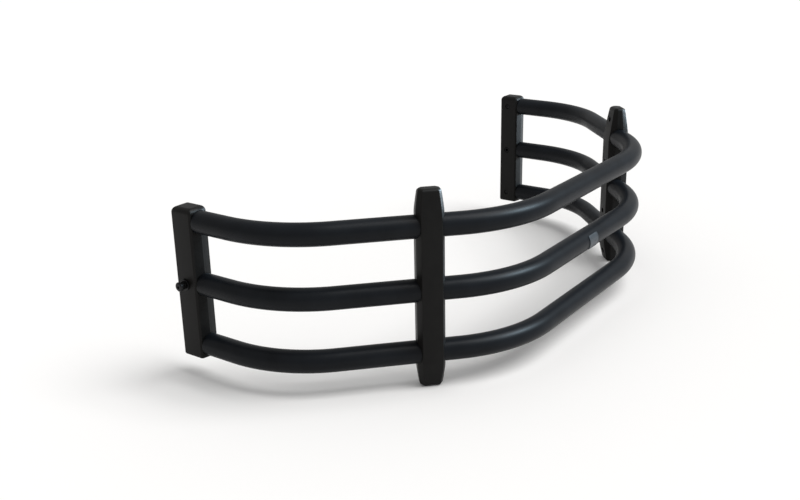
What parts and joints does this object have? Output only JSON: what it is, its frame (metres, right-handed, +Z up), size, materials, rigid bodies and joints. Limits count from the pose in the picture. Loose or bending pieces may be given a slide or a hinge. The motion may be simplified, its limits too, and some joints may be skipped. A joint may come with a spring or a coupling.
{
  "type": "truck bed extender",
  "caption": "Three bent black tubes in a U-shaped cage with moulded end posts and clamp uprights, and a turning pivot roller on the outside of each end post.",
  "frame": {"origin": "centre of the bounding box at floor level, under the middle of the cage", "axes": "+X across the truck, -Y towards the closed front of the U, +Z up"},
  "size_m": [1.3144, 0.5688, 0.39],
  "materials": {
    "powder_coat": "fine-grained satin black powder coat on aluminium tube",
    "moulded_black": "finely textured moulded glass-filled nylon, matte black",
    "roller_black": "smooth moulded nylon, black",
    "screw_black": "black zinc-plated steel",
    "badge": "dark grey satin label plate, blank"
  },
  "bodies": {
    "cage": {"tube_bottom": "powder_coat", "tube_middle": "powder_coat", "tube_top": "powder_coat", "badge_plate": "badge", "upright_left_outer": "moulded_black", "upright_left_inner": "moulded_black", "upright_left_screw_1": "screw_black", "upright_left_screw_2": "screw_black", "upright_left_screw_3": "screw_black", "upright_left_screw_4": "screw_black", "end_post_left_casing": "moulded_black", "end_post_left_cover": "moulded_black", "end_post_left_screw_bottom": "screw_black", "end_post_left_screw_top": "screw_black", "pivot_bolt_left": "screw_black", "pivot_washer_left": "screw_black", "pivot_nut_left": "screw_black", "upright_right_outer": "moulded_black", "upright_right_inner": "moulded_black", "upright_right_screw_1": "screw_black", "upright_right_screw_2": "screw_black", "upright_right_screw_3": "screw_black", "upright_right_screw_4": "screw_black", "end_post_right_casing": "moulded_black", "end_post_right_cover": "moulded_black", "end_post_right_screw_bottom": "screw_black", "end_post_right_screw_top": "screw_black", "pivot_bolt_right": "screw_black", "pivot_washer_right": "screw_black", "pivot_nut_right": "screw_black"},
    "roller_left": {"pivot_roller_left": "roller_black"},
    "roller_right": {"pivot_roller_right": "roller_black"}
  },
  "joints": [
    {"name": "pivot_left_turn", "type": "hinge", "parent": "cage", "child": "roller_left", "pos_m": [-0.6473, 0.2629, 0.1935], "axis": [1, 0, 0], "continuous": true},
    {"name": "pivot_right_turn", "type": "hinge", "parent": "cage", "child": "roller_right", "pos_m": [0.6473, 0.2629, 0.1935], "axis": [1, 0, 0], "continuous": true}
  ]
}
